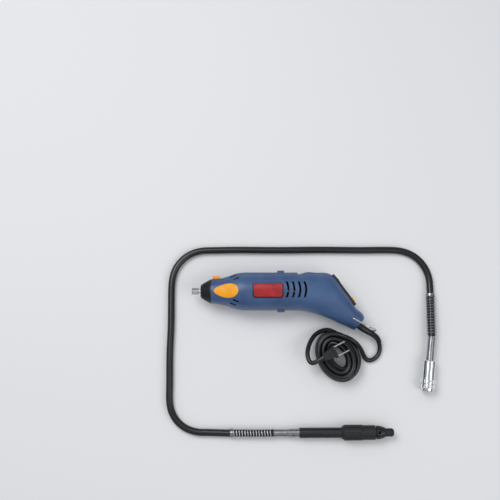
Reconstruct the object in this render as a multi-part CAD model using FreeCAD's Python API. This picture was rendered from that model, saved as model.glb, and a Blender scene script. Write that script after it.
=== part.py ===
import FreeCAD, Part
import math
import os

from FreeCAD import Placement, Rotation
from FreeCAD import Vector as V

# Motor tool with a detachable flexible shaft, lying side by side on a table at z = 0.
# The motor tool points its nose along -X.  The flexible shaft lies in a C around it,
# with its coupling on the right and its handpiece at the front.  All sizes in mm.

# ---------------------------------------------------------------- places on the table
NOSE_TIP = (-163.8, 83.3)          # front of the tool's collet nut, seen from above
COUPLING_START = (156.8, 24.9)     # where the sheath enters the coupling's ferrule
COUPLING_DIRECTION = V(-9.4, -72.9, 0)
HANDPIECE_START = V(-55.1, -101.4, 7.6)
HANDPIECE_DIRECTION = V(1, 0.0063, 0.0288)

# ---------------------------------------------------------------- motor tool housing
BODY_RADIUS = 25.25
WALL = 2.4
FRONT_FACE = 26.0                  # stations are measured along the motor axis from the nut's tip
CAVITY_START = 44.0
NOSE_BOSS_RADIUS = 7.0             # threaded boss that carries the nose cap or the coupling nut
NOSE_BOSS_LENGTH = 10.5
SHAFT_PASSAGE_RADIUS = 4.2

# Flare of the barrel: station, and how far its surface lies below the full radius there.
FLARE_DROPS = [(26, 9.05), (34, 8.35), (44, 6.55), (52, 3.95), (60, 1.35), (68, 0.15), (76, 0)]
FLARE = [(station, BODY_RADIUS - drop) for station, drop in FLARE_DROPS]
FRONT_RADIUS = FLARE[0][1]
BARREL_END = 140.0
# Each tail section in the side view: station of its top point and how far that lies below the
# barrel's top, station of its belly point and how far that hangs below the barrel's belly, and
# how much narrower than the barrel the tool is there on each side.
TAIL_SHAPE = [
    (BARREL_END, 0, BARREL_END, 0, 0),
    (151, 0, 149, 0.85, 0.05),
    (163, 0, 157.5, 2.75, 0.35),
    (174, 0.15, 165.5, 4.95, 0.95),
    (182, 1.25, 172, 7.05, 1.75),
    (188, 5.05, 178.5, 9.35, 2.65),
    (194.5, 13.45, 185.5, 12.15, 3.85),
    (203, 25.45, 193, 15.75, 5.25),
    (212, 38.15, 200.5, 19.15, 6.55),
    (220.5, 50.35, 208, 22.65, 7.75),
    (228.4, 61.65, 215.3, 25.75, 8.85),
]
TAIL_SECTIONS = [((top, BODY_RADIUS - drop), (belly, -BODY_RADIUS - fall), BODY_RADIUS - narrower)
                 for top, drop, belly, fall, narrower in TAIL_SHAPE]
TAIL_END_WALL = 3.0

# flat of the switch panel on the back slope of the tail
PANEL_CORNER = V(187.2, BODY_RADIUS - 1.65, 0)
PANEL_DIRECTION = V(43.2, -60.15, 0)
PANEL_FIRST = 1.5
PANEL_LENGTH = 50.0
PANEL_WIDTH = 13.0
PANEL_DEPTH = 3.2
PANEL_PROUD = 0.9
DIAL_STATION = 11.0
DIAL_RADIUS = 9.0
DIAL_WIDTH = 5.0
DIAL_PROUD = 2.6
SLIDER_STATION = 44.0
SLIDER_LENGTH = 6.5
SLIDER_WIDTH = 5.6
SLIDER_PROUD = 2.4
SLIDER_TRAVEL = 5.0

LABEL_STATION = 100.9
LABEL_OFFSET = -1.4                # label, inlays and vents sit a little towards the belly side
LABEL_LENGTH = 37.4
LABEL_WIDTH = 17.4
LABEL_RIM = 1.5
LABEL_DEPTH = 0.8
LABEL_PROUD = 0.3
INLAY_STATION = 46.0
INLAY_HALF_LENGTH = 16.2
INLAY_HALF_WIDTH = 9.0
INLAY_DEPTH = 1.0
INLAY_PROUD = 0.4

VENT_STATIONS = (127.4, 135.2, 143.0, 150.6)
VENT_HALF_LENGTH = 10.5
VENT_WIDTH = 2.7
VENT_BOW = 26.0                    # radius of the curved slots
FRONT_VENT_STATION = 57.0
FRONT_VENT_OFFSET = 16.6
FRONT_VENT_LENGTH = 8.5
FRONT_VENT_WIDTH = 1.7
FRONT_VENT_PITCH = 3.8

SCREW_PLACES = ((39.5, 13.4), (39.5, -13.4), (153.0, BODY_RADIUS - 7.75), (158.0, 3.75 - BODY_RADIUS),
                (203.0, -30.0))
SCREW_RADIUS = 1.45
SCREW_HEAD_RADIUS = 2.6
SCREW_HEAD_HEIGHT = 1.8
SCREW_GRIP = 7.0                   # from the split plane down to the head's seat
SCREW_REACH = 9.0                  # from the split plane up into the boss
SCREW_BOSS_RADIUS = 3.9

# ---------------------------------------------------------------- motor
FIT = 0.05                         # radial clearance of a running fit
FREE = 0.3                         # clearance between parts that never touch
SPINDLE_RADIUS = 3.5
NECK_RADIUS = 2.9
THREAD_RADIUS = 3.2
SHAFT_RADIUS = 4.0
REAR_JOURNAL_RADIUS = 2.5
SHAFT_END = 137.0

NUT_LENGTH = 8.8
NUT_RADIUS = 4.9
NUT_FLATS = 8.8
COLLET_BORE_RADIUS = 1.6
COLLET_RADIUS = 2.35
COLLET_LENGTH = 14.0
COLLET_SLIT = 0.5
CAP_FRONT = 11.9
CAP_FRONT_RADIUS = 9.3
CAP_RADIUS = FRONT_RADIUS - 0.3
CAP_GROOVES = 20

FRONT_BEARING = (37.5, 43.5)
FRONT_BEARING_RADIUS = 9.5
REAR_BEARING = (130.0, 135.0)
REAR_BEARING_RADIUS = 8.0
BEARING_RING = 1.5
BALL_COUNT = 8
BULKHEAD = (128.5, 134.5)
BULKHEAD_VENTS = 6

FAN = (48.5, 57.5)
FAN_RADIUS = BODY_RADIUS - 10.25    # clears the flare around it
FAN_BLADES = 9
CORE = (71.0, 103.0)
ROTOR_RADIUS = 12.4
ROTOR_SLOTS = 12
STATOR_BORE = 13.0
STATOR_RADIUS = BODY_RADIUS - WALL - 0.25
COIL_OVERHANG = 4.5
COMMUTATOR = (111.5, 125.0)
COMMUTATOR_RADIUS = 9.0
COMMUTATOR_BARS = 24

BRUSH_STATION = 118.4
BRUSH_SIDE = 4.4
BRUSH_TIP = 9.15
BRUSH_END = 17.5
HOLDER_RADIUS = 5.0
HOLDER_BORE = 3.3
HOLDER_START = 10.4
HOLDER_SEAT = BODY_RADIUS - 5.25
HOLDER_END = BODY_RADIUS - 0.85
BRUSH_CAP_RADIUS = 4.9
BRUSH_CAP_TOP = BODY_RADIUS + 2.35

LOCK_STATION = 32.6
LOCK_LENGTH = 10.4
LOCK_WIDTH = 7.2
LOCK_FLOOR = FRONT_RADIUS - 2.3
LOCK_BOTTOM = FRONT_RADIUS + 0.4
LOCK_TOP = FRONT_RADIUS + 4.2
LOCK_PIN_RADIUS = 1.55
LOCK_PIN_TIP = 4.3
LOCK_HOLE_RADIUS = 1.8
LOCK_TRAVEL = 2.4

# ---------------------------------------------------------------- tail fittings
BAIL_PIVOT = V(211.1, -37.5, 0)
BAIL_KNEE = V(231.5, -48.5, 0)
BAIL_END = V(243.5, -51.9, 0)
BAIL_WIRE = 1.1
BAIL_SPREAD = BODY_RADIUS - 5.65    # half its width at the pivots
BAIL_END_SPREAD = 7.0
BAIL_FOOT = 6.0
CORD_OUTLET = V(221.2, -45.2, 0)
CORD_OUTLET_DIRECTION = V(0.745, -0.667, 0)

# ---------------------------------------------------------------- mains cord
CORD_RADIUS = 3.0
BOOT_START_RADIUS = 4.6
BOOT_END_RADIUS = 3.6
BOOT_CONTROL = (V(57.4, 38.1, BODY_RADIUS), V(66.9, 29.6, BODY_RADIUS), V(82.9, 27.1, 15.5), V(86.0, 17.5, 9.0))
BOOT_STATIONS = 8
CORD_ROUTE = [
    (86.0, 17.5, 9.0), (88.2, 10.7, 4.4), (86.5, 1.9, 3.1), (80.6, -4.9, 3.1),
    (72.0, -7.5, 3.1), (63.3, -5.3, 3.1), (57.5, -0.6, 3.1),
]
COIL_CENTRE = (30.4, -2.1)
COIL_HALF_LENGTH = 35.0
COIL_HALF_WIDTH = 27.5
COIL_TILT = -62.0
COIL_BAND = 19.0
COIL_HEIGHT = 24.6
PLUG_FACE = (25.8, 3.4)
PLUG_TURN = 27.0
PLUG_LENGTH = 18.0
PLUG_WIDTH = 16.4
PLUG_REAR_WIDTH = 10.0
PLUG_HEIGHT = 12.4
PLUG_FLANGE = 3.0
PLUG_NECK_RADIUS = 4.2
PLUG_NECK_LENGTH = 9.0
BLADE_SPACING = 12.7
BLADE_LENGTH = 16.0
BLADE_WIDTH = 6.3
BLADE_THICKNESS = 1.5

# ---------------------------------------------------------------- flexible shaft
SHEATH_RADIUS = 4.75
SHEATH_BORE = 2.9
FLEX_CORE_RADIUS = 2.0
SHEATH_END_GAP = 0.7               # lets the sheath bend a little where it meets the ferrule
GUARD_RADIUS = 5.9
GUARD_BORE = 4.95
GUARD_EDGES = 4                    # straight runs and arcs of the route inside each spring guard
SHEATH_ROUTE = [
    (156.8, 24.9, 10.2), (157.1, 45.0, 8.9), (157.8, 66.5, 7.0), (158.3, 90.0, 5.2),
    (157.9, 105.6, 4.8), (151.0, 122.6, 4.8), (137.8, 135.8, 4.8), (120.5, 142.6, 4.8),
    (98.0, 143.3, 4.8), (63.0, 142.7, 4.8), (8.0, 143.5, 4.8), (-50.0, 142.7, 4.8),
    (-102.0, 143.4, 4.8), (-133.0, 142.7, 4.8), (-155.2, 142.4, 4.8), (-172.5, 135.5, 4.8),
    (-185.8, 122.3, 4.8), (-192.6, 105.0, 4.8), (-193.2, 81.0, 4.8), (-192.4, 42.0, 4.8),
    (-193.9, 2.0, 4.8), (-193.1, -36.0, 4.8), (-193.4, -65.0, 4.8), (-186.8, -81.9, 4.8),
    (-174.4, -94.3, 4.8), (-158.0, -100.7, 4.8), (-138.0, -100.9, 4.9), (-118.5, -101.6, 5.7),
    (-97.5, -101.5, 6.4), (-76.1, -101.7, 7.0), (-55.1, -101.4, 7.6),
]

FERRULE_RADIUS = 4.85
FERRULE_LENGTH = 34.5
FERRULE_BORE = 3.3
FERRULE_FLANGE_RADIUS = 6.6
FERRULE_FLANGE_LENGTH = 3.0
COUPLING_NUT_RADIUS = 8.9
COUPLING_RING_RADIUS = 10.2
COUPLING_NUT_START = 33.0
COUPLING_BARREL = 25.0
COUPLING_RING_LENGTH = 5.0
COUPLING_GROOVE = 1.2
COUPLING_LIP = 3.5
COUPLING_NOTCHES = 16
COUPLING_THREAD_RADIUS = 7.05
COUPLING_THREAD_LENGTH = 12.0
COUPLING_RELIEF_RADIUS = 7.5       # wider bore behind the thread
CORE_STUB_RADIUS = 3.25
CORE_STUB_START = 2.3
CORE_STUB_LENGTH = 22.0
DRIVE_TIP_RADIUS = 1.6
DRIVE_TIP_LENGTH = 20.0
DRIVE_TIP_SOCKET = 6.0

HAND_FERRULE = (0.3, 19.0, 33.5)
HAND_FERRULE_RADII = (4.8, 5.4)
SLEEVE_RADIUS = 6.7
SLEEVE_END = 134.0
HAND_BORE = 5.5
GRIP = (88.5, 92.5, 115.0, 132.5)
GRIP_RADII = (10.1, 9.4)
GRIP_GROOVES = 14
HAND_NOSE = (134.0, 145.5)
HAND_NOSE_RADII = (8.8, 6.6)
HAND_NUT_LENGTH = 11.0
HAND_NUT_RADIUS = 5.4
HAND_SPINDLE_RADIUS = 2.9
HAND_SPINDLE_START = 36.0
HAND_THREAD_RADIUS = 3.2
HAND_BUSHES = ((56.0, 64.0), (122.0, 130.0))
HAND_LOCK_STATION = 137.5
HAND_LOCK_RADIUS = 1.7

LEFT = V(0, 0, 0)
AXIS = V(1, 0, 0)
UP = V(0, 0, 1)


# ---------------------------------------------------------------- helpers
def frame_along(origin, direction):
    """Placement at origin whose local X runs along direction and whose local Z stays upward."""
    return Placement(origin, Rotation(direction, V(0, 0, 0), UP, "XZY"))


def placed(shape, place):
    """Copy of a shape moved from its local frame to its place."""
    moved = shape.copy()
    moved.Placement = place.multiply(shape.Placement)
    return moved


def turned(outline):
    """Solid turned about local X from a closed outline of (station, radius) points."""
    points = [V(x, r, 0) for x, r in outline]
    face = Part.Face(Part.makePolygon(points + points[:1]))
    return face.revolve(LEFT, AXIS, 360)


def rod(start, end, radius):
    """Round bar along local X."""
    return Part.makeCylinder(radius, end - start, V(start, 0, 0), AXIS)


def tube(start, end, radius, bore):
    """Round tube along local X."""
    return turned([(start, bore), (end, bore), (end, radius), (start, radius)])


def block(x, y, z, length, width, height):
    """Box centred on (x, y, z)."""
    return Part.makeBox(length, width, height, V(x - length / 2, y - width / 2, z - height / 2))


def spun(shape, count, offset=0.0):
    """Copies of a shape spaced evenly about local X."""
    copies = []
    for i in range(count):
        copy = shape.copy()
        copy.rotate(LEFT, AXIS, offset + 360.0 * i / count)
        copies.append(copy)
    return copies


def cut_all(shape, tools):
    """Shape with every tool cut away in one step."""
    return shape.cut(list(tools))


def closed_curve(points):
    """Smooth closed wire through the points."""
    curve = Part.BSplineCurve()
    curve.interpolate(Points=points, PeriodicFlag=True)
    return Part.Wire(curve.toShape())


def rounded_plate(length, width, corner, low, high):
    """Upright prism with a rounded rectangular outline centred on the local origin."""
    plate = block(0, 0, (low + high) / 2, length, width, high - low)
    edges = [e for e in plate.Edges if abs(e.BoundBox.ZLength - (high - low)) < 1e-6]
    return plate.makeFillet(corner, edges)


def moved(shape, x, y, z=0.0):
    """Copy of a shape shifted by (x, y, z)."""
    copy = shape.copy()
    copy.translate(V(x, y, z))
    return copy


def both_sides(shape):
    """The shape and its mirror image across the tool's split plane."""
    return [shape, shape.mirror(LEFT, UP)]


def save(node, *solids):
    """Write one node's solids to its own file and report what was written."""
    shape = solids[0] if len(solids) == 1 else Part.makeCompound(list(solids))
    bad = [s for s in shape.Solids if not (s.isValid() and s.isClosed() and s.Volume > 0)]
    shape.exportStep(f"parts/{node}.step")
    print(f"{node:26s} solids {len(shape.Solids):3d}  volume {shape.Volume:10.1f}  {'BAD' if bad else ''}")


TOOL = Placement(V(NOSE_TIP[0], NOSE_TIP[1], BODY_RADIUS), Rotation())
COUPLING = frame_along(V(COUPLING_START[0], COUPLING_START[1], COUPLING_RING_RADIUS), COUPLING_DIRECTION)
HANDPIECE = frame_along(HANDPIECE_START, HANDPIECE_DIRECTION)


def save_at(place, node, *solids):
    """Write a node that was modelled in the local frame of place."""
    save(node, *[placed(s, place) for shape in solids for s in shape.Solids])


# ---------------------------------------------------------------- motor tool: housing
def section_wire(top, belly, half, inset):
    """Elliptical outline of one tail section, shrunk by inset."""
    top = V(top[0], top[1], 0)
    belly = V(belly[0], belly[1], 0)
    centre = (top + belly) * 0.5
    across = (top - belly).normalize()
    reach = (top - belly).Length / 2 - inset
    half = half - inset
    normal = across.cross(UP)
    matrix = FreeCAD.Matrix(across.x * reach, 0, normal.x, centre.x,
                            across.y * reach, 0, normal.y, centre.y,
                            0, half, 0, 0,
                            0, 0, 0, 1)
    circle = Part.makeCircle(1.0).toNurbs()
    return Part.Wire(circle.transformGeometry(matrix).Edges)


def tail_skin(inset, end_wall=0.0):
    """Smooth bent tail, shrunk by inset, from the end of the barrel."""
    wires = [section_wire(*section, inset) for section in TAIL_SECTIONS[:-1]]
    top, belly, half = TAIL_SECTIONS[-1]
    back = V(CORD_OUTLET_DIRECTION).normalize() * -end_wall
    end_top = (top[0] + back.x, top[1] + back.y)
    end_belly = (belly[0] + back.x, belly[1] + back.y)
    wires.append(section_wire(end_top, end_belly, half, inset))
    return Part.makeLoft(wires, True, False)


def barrel_skin(inset, start=0):
    """Turned barrel with its flared front, shrunk by inset, from one flare point on."""
    flare = [V(x, r - inset, 0) for x, r in FLARE[start:]]
    curve = Part.BSplineCurve()
    curve.interpolate(flare)
    front = V(flare[0].x, 0, 0)
    back = V(BARREL_END, 0, 0)
    rim = V(BARREL_END, BODY_RADIUS - inset, 0)
    edges = [Part.makeLine(front, flare[0]), curve.toShape(), Part.makeLine(flare[-1], rim),
             Part.makeLine(rim, back), Part.makeLine(back, front)]
    return Part.Face(Part.Wire(edges)).revolve(LEFT, AXIS, 360)


def curved_slot(station, offset):
    """Bowed slot seen from above, cut through the upper wall."""
    low = 12.0
    ring = Part.makeCylinder(VENT_BOW + VENT_WIDTH / 2, 20, V(station - VENT_BOW, offset, low))
    ring = ring.cut(Part.makeCylinder(VENT_BOW - VENT_WIDTH / 2, 20, V(station - VENT_BOW, offset, low)))
    return ring.common(block(station, offset, low + 10, 12, 2 * VENT_HALF_LENGTH, 20))


def front_slots():
    """Two slanted slots each side of the inlay's rear end."""
    slots = []
    for side in (1, -1):
        for step in (-0.5, 0.5):
            slot = rounded_plate(FRONT_VENT_LENGTH, FRONT_VENT_WIDTH, FRONT_VENT_WIDTH * 0.45, 8, 26)
            slot.rotate(LEFT, UP, side * 24)
            shift = step * FRONT_VENT_PITCH
            slots.append(moved(slot, FRONT_VENT_STATION + shift, side * (FRONT_VENT_OFFSET - shift)))
    return slots


def panel_frame():
    """Frame on the tail's back slope: X down the slope, Y out of it, Z across the tool."""
    along = V(PANEL_DIRECTION).normalize()
    outward = UP.cross(along)
    return Placement(PANEL_CORNER, Rotation(along, outward, UP, "XYZ"))


def panel_block():
    """Space of the switch panel, in the tool's frame."""
    plate = block(PANEL_FIRST + PANEL_LENGTH / 2, (PANEL_PROUD - PANEL_DEPTH) / 2, 0,
                  PANEL_LENGTH, PANEL_DEPTH + PANEL_PROUD, PANEL_WIDTH)
    ends = [e for e in plate.Edges if abs(e.BoundBox.YLength - (PANEL_DEPTH + PANEL_PROUD)) < 1e-6]
    return placed(plate.makeFillet(3.0, ends), panel_frame())


def inlay_prism():
    """Egg-shaped prism, narrow end towards the nose."""
    points = []
    for i in range(16):
        angle = 2 * math.pi * i / 16
        x = INLAY_STATION + INLAY_HALF_LENGTH * math.cos(angle)
        y = LABEL_OFFSET + INLAY_HALF_WIDTH * math.sin(angle) * (1 + 0.3 * math.cos(angle))
        points.append(V(x, y, 0))
    return Part.Face(closed_curve(points)).extrude(V(0, 0, 2 * BODY_RADIUS))


def screw_column(place):
    """Boss that joins both halves at a screw."""
    return Part.makeCylinder(SCREW_BOSS_RADIUS, 4 * BODY_RADIUS, V(place[0], place[1], -2 * BODY_RADIUS))


def screw_hole(place):
    """Hole and head recess of one housing screw, opening at the lower half."""
    x, y = place
    depth = SCREW_GRIP + SCREW_REACH
    shank = Part.makeCylinder(SCREW_RADIUS + FIT, depth + 1, V(x, y, -SCREW_GRIP))
    recess = Part.makeCylinder(SCREW_HEAD_RADIUS + FREE, 2 * BODY_RADIUS, V(x, y, -SCREW_GRIP), V(0, 0, -1))
    return shank.fuse(recess)


def housing_halves():
    """Both clamshell halves, hollow, with seats for everything inside."""
    outer = barrel_skin(0).fuse(tail_skin(0))
    bulkhead = tube(BULKHEAD[0], BULKHEAD[1], 2 * BODY_RADIUS, REAR_BEARING_RADIUS)
    window = moved(rod(BULKHEAD[0] - 1, BULKHEAD[1] + 1, 3.0), 0, 14.5)
    bulkhead = cut_all(bulkhead, spun(window, BULKHEAD_VENTS, 30))
    cavity = barrel_skin(WALL, 2).fuse(tail_skin(WALL, TAIL_END_WALL))
    cavity = cut_all(cavity, [bulkhead] + [screw_column(p) for p in SCREW_PLACES])
    boss = rod(FRONT_FACE - NOSE_BOSS_LENGTH, FRONT_FACE + 2, NOSE_BOSS_RADIUS)
    shell = outer.fuse(boss)
    cuts = [cavity, rod(0, FRONT_BEARING[0], SHAFT_PASSAGE_RADIUS)]
    cuts.append(rod(FRONT_BEARING[0], CAVITY_START + 1, FRONT_BEARING_RADIUS))
    cuts += [screw_hole(p) for p in SCREW_PLACES]
    for station in VENT_STATIONS:
        cuts += both_sides(curved_slot(station, LABEL_OFFSET + 1))
    for slot in front_slots():
        cuts += both_sides(slot)
    cuts += [p.cut(barrel_skin(INLAY_DEPTH)) for p in both_sides(inlay_prism())]
    cuts.append(label_space(0.0, LABEL_RIM))
    cuts.append(panel_block())
    cuts.append(placed(block(PANEL_FIRST + PANEL_LENGTH / 2, -PANEL_DEPTH, 0, PANEL_LENGTH - 8, 8, 7.5),
                       panel_frame()))
    dial_well = Part.makeCylinder(DIAL_RADIUS + 2 * FREE, PANEL_WIDTH - 2 * FREE,
                                  V(DIAL_STATION, DIAL_PROUD - DIAL_RADIUS, FREE - PANEL_WIDTH / 2))
    cuts.append(placed(dial_well, panel_frame()))
    cuts.append(lock_recess())
    across = V(0, 1, 0)
    cuts.append(Part.makeCylinder(HOLDER_RADIUS + FIT, 4 * BODY_RADIUS,
                                  V(BRUSH_STATION, -2 * BODY_RADIUS, 0), across))
    outlet = Part.makeCylinder(BOOT_START_RADIUS, 30, CORD_OUTLET - V(CORD_OUTLET_DIRECTION) * 12,
                               CORD_OUTLET_DIRECTION)
    cuts.append(outlet)
    cuts.append(Part.makeCylinder(BAIL_WIRE + FIT, 4 * BODY_RADIUS, BAIL_PIVOT - UP * 2 * BODY_RADIUS))
    shell = cut_all(shell, cuts)
    size = 10 * BODY_RADIUS
    upper = Part.makeBox(2 * size, 2 * size, size, V(-size / 2, -size, 0))
    lower = Part.makeBox(2 * size, 2 * size, size, V(-size / 2, -size, -size))
    return largest(shell.common(upper)), largest(shell.common(lower))


def largest(shape):
    """The biggest solid of a shape."""
    return max(shape.Solids, key=lambda s: s.Volume)


def label_space(proud, rim):
    """Curved plate on the upper side: a rounded rectangle of the body's own curve."""
    plate = rounded_plate(LABEL_LENGTH + 2 * rim, LABEL_WIDTH + 2 * rim, 2.5 + rim, 5, 2 * BODY_RADIUS)
    plate = moved(plate, LABEL_STATION, LABEL_OFFSET)
    start = LABEL_STATION - LABEL_LENGTH
    end = LABEL_STATION + LABEL_LENGTH
    top = BODY_RADIUS + proud if proud else 2 * BODY_RADIUS
    return plate.common(tube(start, end, top, BODY_RADIUS - LABEL_DEPTH))


def label_pieces():
    """Red name plate and the dark rim around it."""
    plate = label_space(LABEL_PROUD, 0.0)
    rim = label_space(2 * LABEL_PROUD, LABEL_RIM).cut(label_space(0.0, 0.0))
    return plate, rim


def inlays():
    """Upper and lower grip inlays, a little proud of the housing."""
    outer = barrel_skin(-INLAY_PROUD)
    inner = barrel_skin(INLAY_DEPTH)
    return [largest(p.common(outer).cut(inner)) for p in both_sides(inlay_prism())]


def lock_recess():
    """Pocket of the spindle lock button, its pin hole and its spring's seat."""
    x = LOCK_STATION
    pocket = block(x, LOCK_FLOOR + 10, 0, LOCK_LENGTH + 2 * FREE, 20, LOCK_WIDTH + 2 * FREE)
    out = V(0, 1, 0)
    hole = Part.makeCylinder(LOCK_PIN_RADIUS + FIT, LOCK_FLOOR, V(x, 0, 0), out)
    seat = Part.makeCylinder(3.0, LOCK_FLOOR - 9.0, V(x, 9.0, 0), out)
    return pocket.fuse([hole, seat])


# ---------------------------------------------------------------- motor tool: nose
def collet_nut():
    """Hexagonal nut that closes the collet, tapered inside."""
    outline = [(0, 2.0), (2.2, 2.6), (2.2, THREAD_RADIUS + FIT), (NUT_LENGTH, THREAD_RADIUS + FIT),
               (NUT_LENGTH, NUT_RADIUS), (0.8, NUT_RADIUS), (0, NUT_RADIUS - 0.8)]
    body = turned(outline)
    hexagon = [V(0, NUT_FLATS / math.sqrt(3) * math.cos(a), NUT_FLATS / math.sqrt(3) * math.sin(a))
               for a in [math.radians(30 + 60 * i) for i in range(6)]]
    prism = Part.Face(Part.makePolygon(hexagon + hexagon[:1])).extrude(V(NUT_LENGTH, 0, 0))
    return body.common(prism)


def collet(front, radius, bore, length):
    """Split collet with a bore for the tool's shank and two crossed slits."""
    outline = [(front, bore), (front + length, bore), (front + length, radius),
               (front + 2.2, radius), (front, bore + 0.3)]
    body = turned(outline)
    slits = [block(front + length * 0.3, 0, 0, length * 0.7, 3 * radius, COLLET_SLIT),
             block(front + length * 0.3, 0, 0, length * 0.7, COLLET_SLIT, 3 * radius)]
    return cut_all(body, slits)


def nose_cap():
    """Tapered cap screwed over the nose boss, with grip grooves along its cone."""
    clearance = NOSE_BOSS_RADIUS + FIT
    inside = FRONT_FACE - NOSE_BOSS_LENGTH - FREE
    outline = [(CAP_FRONT, SHAFT_PASSAGE_RADIUS), (inside, SHAFT_PASSAGE_RADIUS), (inside, clearance),
               (FRONT_FACE, clearance), (FRONT_FACE, CAP_RADIUS), (FRONT_FACE - 1.6, CAP_RADIUS),
               (CAP_FRONT + 1.2, CAP_FRONT_RADIUS), (CAP_FRONT, CAP_FRONT_RADIUS - 1.2)]
    slope = math.atan2(CAP_RADIUS - CAP_FRONT_RADIUS, FRONT_FACE - CAP_FRONT - 2.8)
    length = (FRONT_FACE - CAP_FRONT) * 0.62
    groove = block(0, 0, 0, length, 1.6, 1.1)
    groove.rotate(LEFT, V(0, 1, 0), -math.degrees(slope))
    middle = (CAP_FRONT + FRONT_FACE) / 2
    groove = moved(groove, middle, 0, (CAP_FRONT_RADIUS + CAP_RADIUS) / 2)
    return cut_all(turned(outline), spun(groove, CAP_GROOVES))


# ---------------------------------------------------------------- motor tool: rotor and stator
def rotor_shaft():
    """Spindle and shaft in one piece, with crossed holes for the lock pin."""
    inner_end = COLLET_LENGTH + 1.6
    outline = [(2.4, COLLET_RADIUS + FIT), (2.4, THREAD_RADIUS), (NUT_LENGTH, THREAD_RADIUS),
               (NUT_LENGTH, NECK_RADIUS), (CAP_FRONT + 1, NECK_RADIUS), (CAP_FRONT + 1, SPINDLE_RADIUS),
               (FRONT_BEARING[1], SPINDLE_RADIUS), (FRONT_BEARING[1], SHAFT_RADIUS),
               (REAR_BEARING[0] - 1, SHAFT_RADIUS), (REAR_BEARING[0] - 1, REAR_JOURNAL_RADIUS),
               (SHAFT_END, REAR_JOURNAL_RADIUS), (SHAFT_END, 0), (inner_end, 0),
               (inner_end, COLLET_RADIUS + FIT)]
    shaft = turned(outline)
    cross = Part.makeCylinder(LOCK_HOLE_RADIUS, 4 * SPINDLE_RADIUS, V(LOCK_STATION, -2 * SPINDLE_RADIUS, 0),
                              V(0, 1, 0))
    return cut_all(shaft, spun(cross, 4)[:2])


def rotor_core():
    """Laminated core with slots for the winding."""
    core = tube(CORE[0], CORE[1], ROTOR_RADIUS, SHAFT_RADIUS)
    slot = block((CORE[0] + CORE[1]) / 2, 0, 9.4, CORE[1] - CORE[0] + 2, 2.4, 3.6)
    mouth = block((CORE[0] + CORE[1]) / 2, 0, 11.8, CORE[1] - CORE[0] + 2, 0.8, 3.0)
    return cut_all(core, spun(slot, ROTOR_SLOTS) + spun(mouth, ROTOR_SLOTS))


def rotor_winding():
    """Copper bars in the slots, joined by the end turns on both sides."""
    bar = block((CORE[0] + CORE[1]) / 2, 0, 9.4, CORE[1] - CORE[0], 2.2, 3.4)
    ends = [turned([(face, 5.0), (face, 11.2), (face + 3 * way, 11.2), (face + 5 * way, 9.0), (face + 5 * way, 5.0)])
            for face, way in ((CORE[0], -1), (CORE[1], 1))]
    return ends[0].fuse(ends[1:] + spun(bar, ROTOR_SLOTS))


def commutator():
    """Copper sleeve divided into bars by shallow grooves."""
    body = tube(COMMUTATOR[0], COMMUTATOR[1], COMMUTATOR_RADIUS, SHAFT_RADIUS)
    groove = block((COMMUTATOR[0] + COMMUTATOR[1]) / 2, 0, COMMUTATOR_RADIUS,
                   COMMUTATOR[1] - COMMUTATOR[0] + 2, 0.4, 1.2)
    return cut_all(body, spun(groove, COMMUTATOR_BARS, 7.5))


def cooling_fan():
    """Hub, back plate and straight blades."""
    hub = tube(FAN[0], FAN[1], 7.0, SHAFT_RADIUS)
    plate = tube(FAN[1] - 1.6, FAN[1], FAN_RADIUS, SHAFT_RADIUS)
    blade = block((FAN[0] + FAN[1]) / 2, 0, (6.0 + FAN_RADIUS) / 2, FAN[1] - FAN[0], 1.3, FAN_RADIUS - 6.0)
    return hub.fuse([plate] + spun(blade, FAN_BLADES))


def stator_core():
    """Laminated ring with two pockets for the field coils."""
    ring = tube(CORE[0], CORE[1], STATOR_RADIUS, STATOR_BORE)
    return cut_all(ring, [coil_space(side, FREE, 2) for side in (1, -1)])


def coil_space(side, clearance, extra):
    """Curved slab on one side of the bore, as long as the core plus extra each end."""
    inner = STATOR_BORE + 0.8
    outer = STATOR_BORE + 5.2
    slab = tube(CORE[0] - extra, CORE[1] + extra, outer + clearance, inner - clearance)
    return slab.common(block((CORE[0] + CORE[1]) / 2, side * 14, 0, 80, 14, 16 + 2 * clearance))


def field_coils():
    """Two field coils that reach out past the core at both ends."""
    return [coil_space(side, 0, COIL_OVERHANG) for side in (1, -1)]


def bearing(span, outer_radius, bore):
    """Outer ring with balls, and inner ring, of one ball bearing."""
    start, end = span
    outer = tube(start, end, outer_radius, outer_radius - BEARING_RING)
    inner = tube(start, end, bore + BEARING_RING * 0.8, bore)
    gap_low = bore + BEARING_RING * 0.8
    gap_high = outer_radius - BEARING_RING
    ball_radius = (gap_high - gap_low) / 2 - FIT
    ball = Part.makeSphere(ball_radius, V((start + end) / 2, (gap_low + gap_high) / 2, 0))
    return [outer] + spun(ball, BALL_COUNT), inner


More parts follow.
